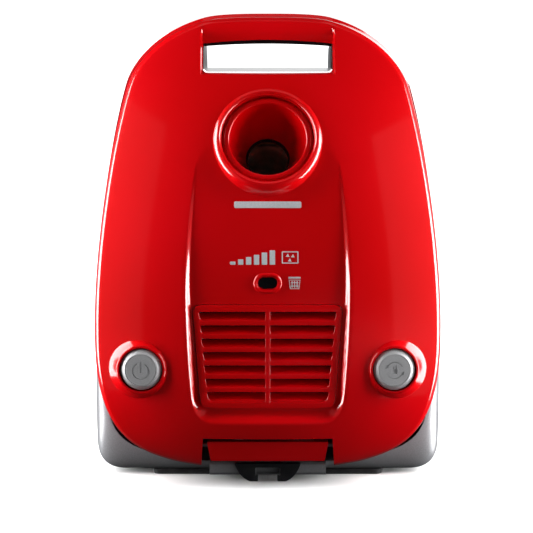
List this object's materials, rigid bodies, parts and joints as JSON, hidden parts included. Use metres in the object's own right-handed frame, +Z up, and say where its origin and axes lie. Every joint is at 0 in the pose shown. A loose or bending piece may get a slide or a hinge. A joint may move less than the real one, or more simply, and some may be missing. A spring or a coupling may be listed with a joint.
{
  "type": "cylinder vacuum cleaner",
  "caption": "Bagged cylinder vacuum cleaner parked upright on its rear end: hinged glossy lid with handle, hose port, exhaust grille and push buttons over a grey wheeled base.",
  "frame": {"origin": "centre of the bounding box in X and Y, on the floor plane the parked cleaner stands on", "axes": "+X to the right seen from the lid side, -Y the way the red lid faces, +Z up with the cleaner parked on its rear end"},
  "size_m": [0.274, 0.23, 0.365],
  "materials": {
    "red_gloss": "glossy injection-moulded, clear red",
    "silver_plastic": "silver-grey, fine metallic fleck, satin gloss",
    "black_plastic": "fine moulded texture",
    "rubber": "matt",
    "steel": "drawn and pressed steel",
    "button_grey": "metallic grey, satin",
    "pale_plastic": "plain moulded",
    "foam": "open-cell filter foam",
    "bag_fleece": "non-woven dust bag fleece",
    "smoke_window": "dark smoked clear plastic",
    "copper": "enamelled copper windings",
    "card": "pressed card"
  },
  "bodies": {
    "base": {"tub_shell": "silver_plastic", "handle_grip": "black_plastic", "hinge_pin_left": "steel", "hinge_pin_right": "steel", "chamber_seal": "rubber", "bulkhead": "black_plastic", "inlet_grid": "black_plastic", "premotor_filter": "foam", "bag_holder": "black_plastic", "bag_collar": "card", "dust_bag": "bag_fleece", "motor_can": "steel", "motor_stator": "copper", "motor_mount_front": "rubber", "motor_mount_rear": "rubber", "reel_bracket": "steel", "reel_axle": "steel", "rewind_spring_case": "silver_plastic", "brake_pin": "steel", "power_switch": "black_plastic", "insert_panel": "silver_plastic", "parking_bracket": "black_plastic", "rest_strip": "rubber", "cord_gland": "rubber", "wheel_axle_left": "steel", "wheel_axle_right": "steel", "caster_socket": "black_plastic", "bulkhead_screw_left": "steel", "bulkhead_screw_right": "steel", "reel_screw_left": "steel", "reel_screw_right": "steel"},
    "lid": {"lid_shell": "red_gloss", "hose_port": "red_gloss", "port_seal": "rubber", "exhaust_grille": "red_gloss", "exhaust_filter": "foam", "indicator_bezel": "red_gloss", "indicator_window": "smoke_window", "latch_pin": "steel", "latch_spring": "steel"},
    "flag": {"indicator_flag": "pale_plastic"},
    "power_key": {"power_button": "button_grey", "power_button_spring": "steel"},
    "rewind_key": {"rewind_button": "button_grey", "rewind_button_spring": "steel"},
    "latch": {"latch_tab": "red_gloss"},
    "left_wheel": {"wheel_left": "silver_plastic", "tyre_left": "rubber", "hubcap_left": "silver_plastic"},
    "right_wheel": {"wheel_right": "silver_plastic", "tyre_right": "rubber", "hubcap_right": "silver_plastic"},
    "caster": {"caster_fork": "black_plastic", "caster_axle": "steel"},
    "caster_roller": {"caster_wheel": "rubber"},
    "drum": {"cord_drum": "black_plastic"},
    "brake": {"brake_lever": "black_plastic", "brake_shoe": "rubber"},
    "fan": {"motor_shaft": "steel", "impeller": "steel"}
  },
  "joints": [
    {"name": "lid_hinge", "type": "hinge", "parent": "base", "child": "lid", "pos_m": [0, -0.026, 0.354], "axis": [-1, 0, 0], "range_deg": [0, 70]},
    {"name": "flag_slide", "type": "slide", "parent": "lid", "child": "flag", "axis": [1, 0, 0], "range_m": [0, 0.008], "stiffness_N_per_m": 20, "springref_m": -0.003},
    {"name": "power_press", "type": "slide", "parent": "lid", "child": "power_key", "axis": [0.0523, 0.9986, 0], "range_m": [0, 0.003], "stiffness_N_per_m": 400, "springref_m": -0.004},
    {"name": "rewind_press", "type": "slide", "parent": "lid", "child": "rewind_key", "axis": [-0.0523, 0.9986, 0], "range_m": [0, 0.003], "stiffness_N_per_m": 400, "springref_m": -0.004},
    {"name": "latch_pull", "type": "hinge", "parent": "lid", "child": "latch", "pos_m": [0, -0.0974, 0.0346], "axis": [-1, 0, 0], "range_deg": [0, 10], "stiffness_Nm_per_rad": 0.15, "springref_deg": -11.46},
    {"name": "left_wheel_roll", "type": "hinge", "parent": "base", "child": "left_wheel", "pos_m": [-0.123, 0.063, 0.058], "axis": [1, 0, 0], "continuous": true},
    {"name": "right_wheel_roll", "type": "hinge", "parent": "base", "child": "right_wheel", "pos_m": [0.123, 0.063, 0.058], "axis": [1, 0, 0], "continuous": true},
    {"name": "caster_swivel", "type": "hinge", "parent": "base", "child": "caster", "pos_m": [0, 0.0866, 0.292], "axis": [0, 1, 0], "continuous": true},
    {"name": "caster_roll", "type": "hinge", "parent": "caster", "child": "caster_roller", "pos_m": [0, 0.1, 0.28], "axis": [1, 0, 0], "continuous": true},
    {"name": "drum_spin", "type": "hinge", "parent": "base", "child": "drum", "pos_m": [0.055, 0.001, 0.078], "axis": [0, 1, 0], "continuous": true},
    {"name": "brake_lift", "type": "hinge", "parent": "base", "child": "brake", "pos_m": [0.082, -0.036, 0.107], "axis": [1, 0, 0], "range_deg": [0, 17]},
    {"name": "fan_spin", "type": "hinge", "parent": "base", "child": "fan", "pos_m": [-0.05, 0.015, 0.1], "axis": [0, 0, 1], "continuous": true}
  ],
  "couplings": [
    {"joint": "brake_lift", "follows": "rewind_press", "rad_per_m": 90}
  ]
}
